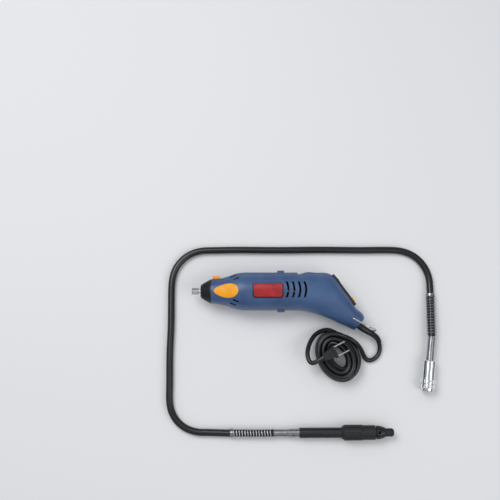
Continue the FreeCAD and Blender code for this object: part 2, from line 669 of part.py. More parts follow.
# ---------------------------------------------------------------- motor tool: brushes, switch, lock
def brush_set(side):
    """Holder, carbon brush, spring sleeve and screw cap on one side of the commutator."""
    turn = Placement(V(BRUSH_STATION, 0, 0), Rotation(V(0, side, 0), V(0, 0, 0), UP, "XZY"))
    holder = turned([(HOLDER_START, HOLDER_BORE), (HOLDER_SEAT, HOLDER_BORE), (HOLDER_SEAT, 4.05),
                     (HOLDER_END, 4.05), (HOLDER_END, HOLDER_RADIUS), (HOLDER_START, HOLDER_RADIUS)])
    brush = block((BRUSH_TIP + BRUSH_END) / 2, 0, 0, BRUSH_END - BRUSH_TIP, BRUSH_SIDE, BRUSH_SIDE)
    spring = tube(BRUSH_END, HOLDER_SEAT + 0.3, 2.6, 1.9)
    cap = turned([(HOLDER_SEAT + 0.3, 0), (HOLDER_SEAT + 0.3, 4.0), (HOLDER_END, 4.0),
                  (HOLDER_END, BRUSH_CAP_RADIUS), (BRUSH_CAP_TOP - 0.8, BRUSH_CAP_RADIUS),
                  (BRUSH_CAP_TOP, BRUSH_CAP_RADIUS - 0.8), (BRUSH_CAP_TOP, 0)])
    cap = cap.cut(block(BRUSH_CAP_TOP, 0, 0, 2.0, 7.0, 1.3))
    return [placed(s, turn) for s in (holder, brush, spring, cap)]


def switch_parts():
    """Panel, slider, dial, switch body and control board, in the panel's frame."""
    panel = panel_frame()
    body = panel_block().copy()
    dial_y = DIAL_PROUD - DIAL_RADIUS
    dial_gap = Part.makeCylinder(DIAL_RADIUS + FREE, DIAL_WIDTH + 2 * FREE,
                                 V(DIAL_STATION, dial_y, -DIAL_WIDTH / 2 - FREE))
    slot_length = SLIDER_LENGTH + SLIDER_TRAVEL + 2 * FREE
    slot_x = SLIDER_STATION - SLIDER_TRAVEL / 2
    slot = block(slot_x, 0, 0, slot_length, 4 * PANEL_DEPTH, SLIDER_WIDTH + 2 * FREE)
    body = cut_all(body, [placed(dial_gap, panel), placed(slot, panel)])
    knob_low = -PANEL_DEPTH - 1.2
    knob_height = PANEL_PROUD + SLIDER_PROUD - knob_low
    knob = block(SLIDER_STATION, knob_low + knob_height / 2, 0, SLIDER_LENGTH, knob_height, SLIDER_WIDTH)
    top = PANEL_PROUD + SLIDER_PROUD
    ribs = [block(SLIDER_STATION + i * 1.6, top, 0, 0.7, 0.9, SLIDER_WIDTH + 1) for i in (-1, 0, 1)]
    knob = cut_all(knob, ribs)
    dial = Part.makeCylinder(DIAL_RADIUS, DIAL_WIDTH, V(DIAL_STATION, dial_y, -DIAL_WIDTH / 2))
    notches = []
    for i in range(24):
        angle = 2 * math.pi * i / 24
        notches.append(Part.makeCylinder(0.5, DIAL_WIDTH + 2, V(DIAL_STATION + DIAL_RADIUS * math.cos(angle),
                                                                dial_y + DIAL_RADIUS * math.sin(angle),
                                                                -DIAL_WIDTH / 2 - 1)))
    hub = Part.makeCylinder(1.5 + FIT, 20, V(DIAL_STATION, dial_y, -10))
    dial = cut_all(dial, notches + [hub])
    pin = Part.makeCylinder(1.5, 11, V(DIAL_STATION, dial_y, -5.5))
    cheek_top = -PANEL_DEPTH
    cheek_low = dial_y - 4.5
    cheek_y = (cheek_top + cheek_low) / 2
    cheeks = [block(DIAL_STATION, cheek_y, side * (DIAL_WIDTH / 2 + 1.7), 9, cheek_top - cheek_low, 2.4)
              for side in (1, -1)]
    carrier = pin.fuse(cheeks)
    switch_low = knob_low - FREE
    switch = block(SLIDER_STATION - 4, switch_low - 4.5, 0, 20, 9, 11)
    board_y = dial_y - DIAL_RADIUS - 1.3
    board = block(DIAL_STATION + 8, board_y, 0, 26, 1.6, 22)
    chips = [block(DIAL_STATION + 2, board_y - 1.8, 4, 6, 2.0, 8),
             block(DIAL_STATION + 13, board_y - 3.3, -3, 7, 5.0, 9)]
    board = board.fuse(chips)
    return [body] + [placed(s, panel) for s in (knob, dial, carrier, switch, board)]


def lock_button():
    """Push button of the spindle lock, its pin and its spring sleeve."""
    x = LOCK_STATION
    cap = block(x, (LOCK_BOTTOM + LOCK_TOP) / 2, 0, LOCK_LENGTH, LOCK_TOP - LOCK_BOTTOM, LOCK_WIDTH)
    top_edges = [e for e in cap.Edges if e.BoundBox.YMin > LOCK_TOP - 1e-6]
    cap = cap.makeFillet(1.2, top_edges)
    out = V(0, 1, 0)
    pin = Part.makeCylinder(LOCK_PIN_RADIUS, LOCK_BOTTOM - LOCK_PIN_TIP, V(x, LOCK_PIN_TIP, 0), out)
    spring = Part.makeCylinder(2.7, LOCK_BOTTOM - 9.0, V(x, 9.0, 0), out)
    spring = spring.cut(Part.makeCylinder(2.0, LOCK_BOTTOM, V(x, 4.0, 0), out))
    return cap, pin, spring


def housing_screws():
    """Self-tapping screws, heads in the lower half."""
    screws = []
    for x, y in SCREW_PLACES:
        shank = Part.makeCylinder(SCREW_RADIUS, SCREW_GRIP + SCREW_REACH, V(x, y, -SCREW_GRIP))
        head = Part.makeCylinder(SCREW_HEAD_RADIUS, SCREW_HEAD_HEIGHT, V(x, y, -SCREW_GRIP - SCREW_HEAD_HEIGHT))
        slot = block(x, y, -SCREW_GRIP - SCREW_HEAD_HEIGHT, 3.2, 0.8, 1.4)
        cross = block(x, y, -SCREW_GRIP - SCREW_HEAD_HEIGHT, 0.8, 3.2, 1.4)
        screws.append(shank.fuse(head).cut([slot, cross]))
    return screws


# ---------------------------------------------------------------- motor tool: bail and cord
def bail():
    """Wire bail with two legs that turn in the sides of the tail."""
    foot = V(BAIL_PIVOT) + UP * (BAIL_SPREAD - BAIL_FOOT)
    pivot = V(BAIL_PIVOT) + UP * BAIL_SPREAD
    knee = V(BAIL_KNEE) + UP * (BAIL_SPREAD - 1.5)
    end = V(BAIL_END) + UP * BAIL_END_SPREAD
    upper = [foot, pivot, knee, end]
    lower = [V(p.x, p.y, -p.z) for p in reversed(upper)]
    path, _ = rounded_route(upper + lower, share=0.3)
    return swept(path, BAIL_WIRE)


def rounded_route(points, share=0.45):
    """Straight runs joined by tangent arcs; each arc uses share of its shorter run."""
    points = [V(*p) for p in points]
    edges = []
    radii = []
    here = points[0]
    for before, corner, after in zip(points, points[1:], points[2:]):
        back = before - corner
        ahead = after - corner
        reach = share * min(back.Length, ahead.Length)
        start = corner + V(back).normalize() * reach
        end = corner + V(ahead).normalize() * reach
        half_turn = (math.pi - back.getAngle(ahead)) / 2
        radius = reach / math.tan(half_turn)
        middle_way = (V(back).normalize() + V(ahead).normalize()).normalize()
        middle = corner + middle_way * (radius / math.cos(half_turn) - radius)
        edges.append(Part.LineSegment(here, start).toShape())
        edges.append(Part.Arc(start, middle, end).toShape())
        radii.append(radius)
        here = end
    edges.append(Part.LineSegment(here, points[-1]).toShape())
    return edges, radii


def swept(edges, radius):
    """Round bar along a route's edges."""
    wire = Part.Wire(edges)
    start = edges[0].valueAt(edges[0].FirstParameter)
    tangent = edges[0].tangentAt(edges[0].FirstParameter)
    circle = Part.Wire(Part.makeCircle(radius, start, tangent))
    return wire.makePipeShell([circle], True, False)


def report_route(name, edges, radii, solid, radius, bore=0.0):
    """Print a cord's length, its tightest arcs and how its volume compares."""
    length = sum(e.Length for e in edges)
    ideal = math.pi * (radius ** 2 - bore ** 2) * length
    print(f"{name}: length {length:.1f}, radii {[round(r, 1) for r in radii]}, "
          f"volume / ideal {solid.Volume / ideal:.4f}")


def boot_point(t):
    """Point and direction on the drooping line of the strain relief."""
    a, b, c, d = BOOT_CONTROL
    s = 1 - t
    point = a * s ** 3 + b * (3 * s * s * t) + c * (3 * s * t * t) + d * t ** 3
    slope = (b - a) * (3 * s * s) + (c - b) * (6 * s * t) + (d - c) * (3 * t * t)
    return point, slope


def strain_relief():
    """Tapered rubber boot between the tail and the mains cord."""
    rings = []
    for i in range(BOOT_STATIONS + 1):
        t = i / BOOT_STATIONS
        point, slope = boot_point(t)
        radius = BOOT_START_RADIUS - FIT + (BOOT_END_RADIUS - BOOT_START_RADIUS) * t
        rings.append(Part.Wire(Part.makeCircle(radius, point, slope)))
    boot = Part.makeLoft(rings, True, False)
    start, slope = boot_point(0)
    inside = Part.makeCylinder(BOOT_START_RADIUS - FIT, TAIL_END_WALL + 2, start, slope * -1)
    return boot.fuse(inside)


def cord_coil():
    """Outer shape of the wound cord: an oval ring lying on the table."""
    def oval(half_length, half_width):
        return Part.Face(Part.Wire(Part.Ellipse(V(0, 0, 0), half_length, half_width).toShape()))

    outer = oval(COIL_HALF_LENGTH, COIL_HALF_WIDTH)
    inner = oval(COIL_HALF_LENGTH - COIL_BAND, COIL_HALF_WIDTH - COIL_BAND)
    ring = outer.cut(inner).extrude(V(0, 0, COIL_HEIGHT))
    ring.rotate(V(0, 0, 0), UP, COIL_TILT)
    return moved(ring, COIL_CENTRE[0], COIL_CENTRE[1])


def plug():
    """Two-blade plug lying flat on the coil: moulded body and metal blades."""
    wide = PLUG_WIDTH / 2
    narrow = PLUG_REAR_WIDTH / 2
    tall = PLUG_HEIGHT / 2
    outline = [V(-PLUG_FLANGE, -wide + 1.2, 0), V(-PLUG_FLANGE, wide - 1.2, 0), V(-PLUG_LENGTH + 3, wide - 3, 0),
               V(-PLUG_LENGTH, narrow, 0), V(-PLUG_LENGTH, -narrow, 0), V(-PLUG_LENGTH + 3, -wide + 3, 0)]
    body = Part.Face(Part.makePolygon(outline + outline[:1])).extrude(V(0, 0, PLUG_HEIGHT - 1.4))
    body.translate(V(0, 0, -tall))
    flange = block(-PLUG_FLANGE / 2, 0, 0, PLUG_FLANGE, PLUG_WIDTH, PLUG_HEIGHT)
    neck = Part.makeCone(PLUG_NECK_RADIUS, CORD_RADIUS + 0.4, PLUG_NECK_LENGTH,
                         V(-PLUG_LENGTH, 0, -0.7), V(-1, 0, 0))
    body = body.fuse([flange, neck])
    blades = []
    for side in (1, -1):
        blade = block(BLADE_LENGTH / 2 - 1.5, side * BLADE_SPACING / 2, 0,
                      BLADE_LENGTH + 3, BLADE_THICKNESS, BLADE_WIDTH)
        hole = Part.makeCylinder(1.5, 8, V(BLADE_LENGTH - 4, side * BLADE_SPACING / 2 - 4, 0), V(0, 1, 0))
        blades.append(blade.cut(hole))
    body = body.cut([block(0, side * BLADE_SPACING / 2, 0, 6, BLADE_THICKNESS, BLADE_WIDTH)
                     for side in (1, -1)])
    place = Placement(V(PLUG_FACE[0], PLUG_FACE[1], COIL_HEIGHT + tall), Rotation(UP, PLUG_TURN))
    return placed(body, place), [placed(b, place) for b in blades]


# ---------------------------------------------------------------- flexible shaft: coupling end
def coupling_ferrule():
    """Steel tube on the sheath's end, with the flange that holds the nut."""
    end = FERRULE_LENGTH + FERRULE_FLANGE_LENGTH
    start = SHEATH_END_GAP
    return turned([(start, FLEX_CORE_RADIUS + FREE), (2.0, FLEX_CORE_RADIUS + FREE), (2.0, FERRULE_BORE),
                   (end, FERRULE_BORE), (end, FERRULE_FLANGE_RADIUS), (FERRULE_LENGTH, FERRULE_FLANGE_RADIUS),
                   (FERRULE_LENGTH, FERRULE_RADIUS), (start, FERRULE_RADIUS)])


def coupling_end():
    """Station of the coupling nut's mouth."""
    return (COUPLING_NUT_START + COUPLING_BARREL + 2 * COUPLING_RING_LENGTH
            + COUPLING_GROOVE + COUPLING_LIP)


def coupling_nut():
    """Union nut with a smooth barrel and two notched grip rings."""
    a = COUPLING_NUT_START
    b = a + COUPLING_BARREL
    c = b + COUPLING_RING_LENGTH
    d = c + COUPLING_GROOVE
    e = d + COUPLING_RING_LENGTH
    f = coupling_end()
    flange_seat = FERRULE_LENGTH - FIT
    thread_start = f - COUPLING_THREAD_LENGTH
    waist = COUPLING_NUT_RADIUS - 0.3
    ring = COUPLING_RING_RADIUS
    outline = [(a, FERRULE_RADIUS + FIT), (flange_seat, FERRULE_RADIUS + FIT), (flange_seat, COUPLING_RELIEF_RADIUS),
               (thread_start, COUPLING_RELIEF_RADIUS), (thread_start, COUPLING_THREAD_RADIUS),
               (f, COUPLING_THREAD_RADIUS), (f, COUPLING_NUT_RADIUS - 0.9), (e, COUPLING_NUT_RADIUS - 0.2),
               (e, ring - 0.5), (e - 0.5, ring), (d + 0.5, ring), (d, ring - 0.5), (d, waist), (c, waist),
               (c, ring - 0.5), (c - 0.5, ring), (b + 0.5, ring), (b, ring - 0.5), (b, COUPLING_NUT_RADIUS),
               (a + 1, COUPLING_NUT_RADIUS), (a, COUPLING_NUT_RADIUS - 1)]
    notch = rod(b - 0.5, e + 0.5, 0.9)
    notch = moved(notch, 0, 0, ring + 0.2)
    return cut_all(turned(outline), spun(notch, COUPLING_NOTCHES, 11.25))


def core_stub():
    """Swaged end of the drive core, sliding in the ferrule."""
    start = CORE_STUB_START
    end = start + CORE_STUB_LENGTH
    return turned([(start, 0), (start, CORE_STUB_RADIUS), (end, CORE_STUB_RADIUS),
                   (end, DRIVE_TIP_RADIUS + FIT), (end - DRIVE_TIP_SOCKET, DRIVE_TIP_RADIUS + FIT),
                   (end - DRIVE_TIP_SOCKET, 0)])


def drive_tip():
    """Hardened tip that the tool's collet grips."""
    stub_end = CORE_STUB_START + CORE_STUB_LENGTH
    start = stub_end - DRIVE_TIP_SOCKET + FIT
    end = stub_end + DRIVE_TIP_LENGTH
    return turned([(start, 0), (start, DRIVE_TIP_RADIUS), (end - 0.5, DRIVE_TIP_RADIUS),
                   (end, DRIVE_TIP_RADIUS - 0.5), (end, 0)])


# ---------------------------------------------------------------- flexible shaft: handpiece end
def hand_ferrule():
    """Stepped bright ferrule between the spring guard and the sleeve."""
    a, b, c = HAND_FERRULE
    thin, thick = HAND_FERRULE_RADII
    bore = FLEX_CORE_RADIUS + FREE
    return turned([(a, bore), (c, bore), (c, thick), (b + 0.5, thick), (b, thick - 0.5), (b, thin), (a, thin)])


def hand_body():
    """Long tubular body that carries the bushes."""
    a = HAND_FERRULE[2]
    return tube(a, SLEEVE_END, SLEEVE_RADIUS, HAND_BORE)


def hand_grip():
    """Soft grip over the front of the body, fluted along its thick part."""
    a, b, c, d = GRIP
    thick, thin = GRIP_RADII
    bore = SLEEVE_RADIUS
    grip = turned([(a, bore), (d, bore), (d, thin - 0.6), (d - 0.6, thin), (c + 2.0, thin), (c, thick),
                   (b, thick), (a, bore + 0.8)])
    flute = moved(rod(b + 2, c - 1.5, 0.8), 0, 0, thick + 0.35)
    return cut_all(grip, spun(flute, GRIP_GROOVES))


def hand_nose():
    """Front cover of the handpiece with the hole for a locking pin."""
    a, b = HAND_NOSE
    wide, narrow = HAND_NOSE_RADII
    bore = HAND_SPINDLE_RADIUS + FREE
    step = 3.5
    nose = turned([(a, bore), (b, bore), (b, narrow - 0.8), (b - 0.8, narrow), (a + step, wide), (a, wide)])
    hole = Part.makeCylinder(HAND_LOCK_RADIUS, 20, V(HAND_LOCK_STATION, 0, 0), UP)
    return nose.cut(hole)


def hand_bushes():
    """Two sintered bushes pressed into the body."""
    return [tube(a, b, HAND_BORE, HAND_SPINDLE_RADIUS + FIT) for a, b in HAND_BUSHES]


def hand_spindle():
    """Output spindle with a thread and a collet seat at its front."""
    front = HAND_NOSE[1] + FREE + HAND_NUT_LENGTH
    seat = front - 2.4
    mouth = COLLET_RADIUS + FIT
    outline = [(HAND_SPINDLE_START, 0), (HAND_SPINDLE_START, HAND_SPINDLE_RADIUS),
               (HAND_NOSE[1] + FREE, HAND_SPINDLE_RADIUS), (HAND_NOSE[1] + FREE, HAND_THREAD_RADIUS),
               (seat, HAND_THREAD_RADIUS), (seat, mouth), (front - COLLET_LENGTH - 1.6, mouth),
               (front - COLLET_LENGTH - 1.6, 0)]
    cross = Part.makeCylinder(HAND_LOCK_RADIUS, 8 * HAND_SPINDLE_RADIUS,
                              V(HAND_LOCK_STATION, 0, -4 * HAND_SPINDLE_RADIUS), UP)
    return turned(outline).cut(cross)


def hand_nut():
    """Domed round collet nut with grip flats."""
    a = HAND_NOSE[1] + FREE
    b = a + HAND_NUT_LENGTH
    r = HAND_NUT_RADIUS
    cone = COLLET_RADIUS + 0.25
    nut = turned([(a, HAND_THREAD_RADIUS + FIT), (b - 2.2, HAND_THREAD_RADIUS + FIT), (b - 2.2, cone),
                  (b, cone - 0.6), (b, r - 2.4), (b - 1.0, r - 0.9), (b - 2.6, r), (a + 0.6, r), (a, r - 0.6)])
    flats = [block((a + b) / 2 - 2, 0, side * (r + 4.4), 6, 20, 10) for side in (1, -1)]
    return cut_all(nut, flats)


def hand_collet():
    """Split collet in the handpiece's spindle, facing forward."""
    front = HAND_NOSE[1] + FREE + HAND_NUT_LENGTH
    piece = collet(0, COLLET_RADIUS, COLLET_BORE_RADIUS, COLLET_LENGTH)
    piece.rotate(LEFT, UP, 180)
    return moved(piece, front, 0)


def build_motor_tool():
    """Write every piece of the motor tool."""
    upper, lower = housing_halves()
    save_at(TOOL, "housing_upper", upper)
    save_at(TOOL, "housing_lower", lower)
    plate, rim = label_pieces()
    save_at(TOOL, "name_plate", plate)
    save_at(TOOL, "name_plate_rim", rim)
    inlay_up, inlay_low = inlays()
    save_at(TOOL, "grip_inlay_upper", inlay_up)
    save_at(TOOL, "grip_inlay_lower", inlay_low)
    save_at(TOOL, "housing_screws", *housing_screws())
    save_at(TOOL, "collet_nut", collet_nut())
    save_at(TOOL, "collet", collet(0.2, COLLET_RADIUS, COLLET_BORE_RADIUS, COLLET_LENGTH))
    save_at(TOOL, "nose_cap", nose_cap())
    save_at(TOOL, "rotor_shaft", rotor_shaft())
    save_at(TOOL, "rotor_core", rotor_core())
    save_at(TOOL, "rotor_winding", rotor_winding())
    save_at(TOOL, "commutator", commutator())
    save_at(TOOL, "cooling_fan", cooling_fan())
    save_at(TOOL, "stator_core", stator_core())
    save_at(TOOL, "field_coils", *field_coils())
    outer, inner = bearing(FRONT_BEARING, FRONT_BEARING_RADIUS, SPINDLE_RADIUS)
    save_at(TOOL, "front_bearing_outer", *outer)
    save_at(TOOL, "front_bearing_inner", inner)
    outer, inner = bearing(REAR_BEARING, REAR_BEARING_RADIUS, REAR_JOURNAL_RADIUS)
    save_at(TOOL, "rear_bearing_outer", *outer)
    save_at(TOOL, "rear_bearing_inner", inner)
    top = brush_set(1)
    bottom = brush_set(-1)
    save_at(TOOL, "brush_holders", top[0], bottom[0])
    save_at(TOOL, "carbon_brushes", top[1], bottom[1])
    save_at(TOOL, "brush_springs", top[2], bottom[2])
    save_at(TOOL, "brush_cap_top", top[3])
    save_at(TOOL, "brush_cap_bottom", bottom[3])
    panel, knob, dial, carrier, switch, board = switch_parts()
    save_at(TOOL, "switch_panel", panel)
    save_at(TOOL, "switch_slider", knob)
    save_at(TOOL, "speed_dial", dial)
    save_at(TOOL, "dial_carrier", carrier)
    save_at(TOOL, "switch_body", switch)
    save_at(TOOL, "control_board", board)
    button, pin, spring = lock_button()
    save_at(TOOL, "lock_button", button)
    save_at(TOOL, "lock_pin", pin)
    save_at(TOOL, "lock_spring", spring)
    save_at(TOOL, "hanging_bail", bail())


def build_mains_cord():
    """Write the strain relief, the cord, its coil and its plug."""
    save("strain_relief", strain_relief())
    edges, radii = rounded_route(CORD_ROUTE)
    cord = swept(edges, CORD_RADIUS)
    report_route("mains cord", edges, radii, cord, CORD_RADIUS)
    save("power_cord", cord)
    save("cord_coil", cord_coil())
    body, blades = plug()
    save("plug_body", body)
    save("plug_blades", *blades)


def build_flexible_shaft():
    """Write the sheath, its core and both of its ends."""
    edges, radii = rounded_route(SHEATH_ROUTE)
    sheath = swept(edges, SHEATH_RADIUS).cut(swept(edges, SHEATH_BORE))
    report_route("flexible shaft", edges, radii, sheath, SHEATH_RADIUS, SHEATH_BORE)
    save("flex_sheath", sheath)
    core = swept(edges, FLEX_CORE_RADIUS)
    save("flex_core", core, placed(rod(FREE, HAND_SPINDLE_START, FLEX_CORE_RADIUS), HANDPIECE),
         placed(rod(FREE, CORE_STUB_START, FLEX_CORE_RADIUS), COUPLING))
    for node, run in (("coupling_spring_guard", edges[:GUARD_EDGES]),
                      ("handpiece_spring_guard", edges[-GUARD_EDGES:])):
        save(node, swept(run, GUARD_RADIUS).cut(swept(run, GUARD_BORE)))
    save_at(COUPLING, "coupling_ferrule", coupling_ferrule())
    save_at(COUPLING, "coupling_nut", coupling_nut())
    save_at(COUPLING, "core_stub", core_stub())
    save_at(COUPLING, "drive_tip", drive_tip())
    save_at(HANDPIECE, "handpiece_ferrule", hand_ferrule())
    save_at(HANDPIECE, "handpiece_body", hand_body())
    save_at(HANDPIECE, "handpiece_grip", hand_grip())
    save_at(HANDPIECE, "handpiece_nose", hand_nose())
    save_at(HANDPIECE, "handpiece_bushes", *hand_bushes())
    save_at(HANDPIECE, "handpiece_spindle", hand_spindle())
    save_at(HANDPIECE, "handpiece_collet", hand_collet())
    save_at(HANDPIECE, "handpiece_collet_nut", hand_nut())


os.makedirs("parts", exist_ok=True)
build_motor_tool()
build_mains_cord()
build_flexible_shaft()
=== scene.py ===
import math

import bpy
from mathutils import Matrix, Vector


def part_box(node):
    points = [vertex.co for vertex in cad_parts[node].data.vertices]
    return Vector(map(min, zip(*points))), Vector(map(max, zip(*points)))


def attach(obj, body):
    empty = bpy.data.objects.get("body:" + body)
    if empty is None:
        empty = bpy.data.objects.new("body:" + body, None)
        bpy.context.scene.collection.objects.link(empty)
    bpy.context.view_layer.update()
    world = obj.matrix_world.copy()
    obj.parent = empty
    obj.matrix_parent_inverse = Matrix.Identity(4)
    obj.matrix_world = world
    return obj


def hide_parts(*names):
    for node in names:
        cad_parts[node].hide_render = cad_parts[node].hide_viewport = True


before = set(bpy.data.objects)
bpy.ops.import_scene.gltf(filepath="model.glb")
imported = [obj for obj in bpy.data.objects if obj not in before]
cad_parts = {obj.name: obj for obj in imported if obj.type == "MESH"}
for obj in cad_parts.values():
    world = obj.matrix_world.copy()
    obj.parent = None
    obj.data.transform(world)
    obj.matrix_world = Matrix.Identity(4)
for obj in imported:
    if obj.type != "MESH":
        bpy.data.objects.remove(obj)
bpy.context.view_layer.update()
scene = bpy.context.scene
MM = 0.001


# ---------------------------------------------------------------- camera, light and table
CAMERA_PLACE = Vector((-86.37, -55.47, 1066.9)) * MM
CAMERA_AIM = Vector((-86.37, 139.52, 25.0)) * MM
CAMERA_SENSOR = 36.0
CAMERA_LENS = 56.7
TABLE_REACH = 3000                 # half the table top's side
SKY_STRENGTH = 0.55
# Place, aim and side of each square lamp, in metres, and its power in watts.
LAMPS = {
    "key": ((-0.7, 0.7, 1.5), (-0.05, 0.05, 0), 0.9, 14.0),
    "fill": ((0.9, -0.5, 1.2), (0, 0, 0), 1.0, 6.0),
}


def aimed(obj, place, aim):
    """Put an object at place and turn its -Z towards aim."""
    obj.location = place
    obj.rotation_euler = (Vector(aim) - Vector(place)).to_track_quat("-Z", "Y").to_euler()
    scene.collection.objects.link(obj)
    return obj


def set_camera():
    """Camera high above the table, a little to the front."""
    data = bpy.data.cameras.new("camera")
    data.lens = CAMERA_LENS
    data.sensor_width = CAMERA_SENSOR
    data.clip_start = 0.01
    data.clip_end = 20.0
    scene.camera = aimed(bpy.data.objects.new("camera", data), CAMERA_PLACE, CAMERA_AIM)


def soft_light(name, place, aim, size, power):
    """Large square lamp."""
    data = bpy.data.lights.new(name, "AREA")
    data.size = size
    data.energy = power
    aimed(bpy.data.objects.new(name, data), place, aim)


def linear(code):
    """Linear colour with alpha from an sRGB hex code."""
    channels = [int(code[i:i + 2], 16) / 255 for i in (1, 3, 5)]
    return [c / 12.92 if c <= 0.04045 else ((c + 0.055) / 1.055) ** 2.4 for c in channels] + [1.0]


def add(tree, kind, inputs=None, **settings):
    """Add one node with its settings, values and links."""
    made = tree.nodes.new(kind)
    for name, value in settings.items():
        setattr(made, name, value)
    for socket, value in (inputs or {}).items():
        if isinstance(value, bpy.types.NodeSocket):
            tree.links.new(value, made.inputs[socket])
        else:
            made.inputs[socket].default_value = value
    return made


def mixed_colour(tree, share, first, second):
    """Colour socket that goes from the first colour to the second."""
    return add(tree, "ShaderNodeMix", {0: share, 6: first, 7: second}, data_type="RGBA").outputs[2]


def set_world():
    """Pale surroundings, darker towards the horizon so that round metal shows its form."""
    world = bpy.data.worlds.new("studio")
    scene.world = world
    world.use_nodes = True
    tree = world.node_tree
    tree.nodes.clear()
    direction = add(tree, "ShaderNodeTexCoord").outputs["Generated"]
    axes = add(tree, "ShaderNodeSeparateXYZ", {"Vector": direction})
    height = add(tree, "ShaderNodeMapRange", {"Value": axes.outputs[2], "From Min": 0.05, "From Max": 0.6})
    tone = mixed_colour(tree, height.outputs[0], linear("#4c4f55"), linear("#f4f6f9"))
    sky = add(tree, "ShaderNodeBackground", {"Color": tone, "Strength": SKY_STRENGTH})
    add(tree, "ShaderNodeOutputWorld", {"Surface": sky.outputs[0]})


def set_table():
    """Pale seamless table top that only carries shadows."""
    material = bpy.data.materials.new("pale_table")
    material.use_nodes = True
    tree = material.node_tree
    tree.nodes.clear()
    shader = add(tree, "ShaderNodeBsdfPrincipled", {"Base Color": linear("#e4e5e7"), "Roughness": 0.8})
    add(tree, "ShaderNodeOutputMaterial", {"Surface": shader.outputs[0]})
    mesh = bpy.data.meshes.new("table")
    reach = TABLE_REACH * MM
    corners = [(-reach, -reach, 0), (reach, -reach, 0), (reach, reach, 0), (-reach, reach, 0)]
    mesh.from_pydata(corners, [], [(0, 1, 2, 3)])
    mesh.materials.append(material)
    table = bpy.data.objects.new("table", mesh)
    scene.collection.objects.link(table)


# ---------------------------------------------------------------- finishes
def noise(tree, place, size):
    """Noise whose cells are size millimetres across."""
    return add(tree, "ShaderNodeTexNoise", {"Vector": place, "Scale": 1 / (size * MM), "Detail": 3.0}
               ).outputs[0]


def finish(name, colours, roughness, grain, depth, patch=12.0, stretch=(1, 1, 1), hatch=None, **shader_values):
    """Material whose colour drifts between two tones, whose gloss varies and whose surface has a fine grain.

    Roughness is a low and a high value; grain and patch are sizes in millimetres and depth is
    the grain's height in millimetres; stretch squeezes the grain along an axis; hatch adds
    raised lines on a strip of the piece."""
    material = bpy.data.materials.new(name)
    material.use_nodes = True
    tree = material.node_tree
    tree.nodes.clear()
    place = add(tree, "ShaderNodeTexCoord").outputs["Object"]
    squeezed = add(tree, "ShaderNodeMapping", {"Vector": place, "Scale": stretch}).outputs[0]
    patches = noise(tree, place, patch)
    fine = noise(tree, squeezed, grain)
    blend = add(tree, "ShaderNodeMapRange", {"Value": patches, "From Min": 0.35, "From Max": 0.65})
    colour = mixed_colour(tree, blend.outputs[0], linear(colours[0]), linear(colours[1]))
    speck = add(tree, "ShaderNodeMapRange", {"Value": fine, "From Min": 0.3, "From Max": 0.7,
                                             "To Min": roughness[0], "To Max": roughness[1]})
    height = fine
    if hatch:
        height, colour = hatched(tree, place, height, colour, *hatch)
    bump = add(tree, "ShaderNodeBump", {"Height": height, "Distance": depth * MM, "Strength": 1.0})
    values = {"Base Color": colour, "Roughness": speck.outputs[0], "Normal": bump.outputs[0]}
    values.update({key.replace("_", " "): value for key, value in shader_values.items()})
    shader = add(tree, "ShaderNodeBsdfPrincipled", values)
    add(tree, "ShaderNodeOutputMaterial", {"Surface": shader.outputs[0]})
    return material


def hatched(tree, place, height, colour, start, pitch, stroke):
    """Slanted lines of another colour, pitch mm apart, on the side of a piece above y = start mm."""
    # 0.31 turns the wave texture's own scale into a pitch
    lines = add(tree, "ShaderNodeTexWave", {"Vector": place, "Scale": 0.31 / (pitch * MM)},
                bands_direction="DIAGONAL")
    axes = add(tree, "ShaderNodeSeparateXYZ", {"Vector": place})
    above = add(tree, "ShaderNodeMath", {0: axes.outputs[1], 1: start * MM}, operation="GREATER_THAN")
    mask = add(tree, "ShaderNodeMath", {0: above.outputs[0], 1: lines.outputs[1]}, operation="MULTIPLY")
    raised = add(tree, "ShaderNodeMath", {0: height, 1: mask.outputs[0]}, operation="ADD")
    return raised.outputs[0], mixed_colour(tree, mask.outputs[0], colour, linear(stroke))


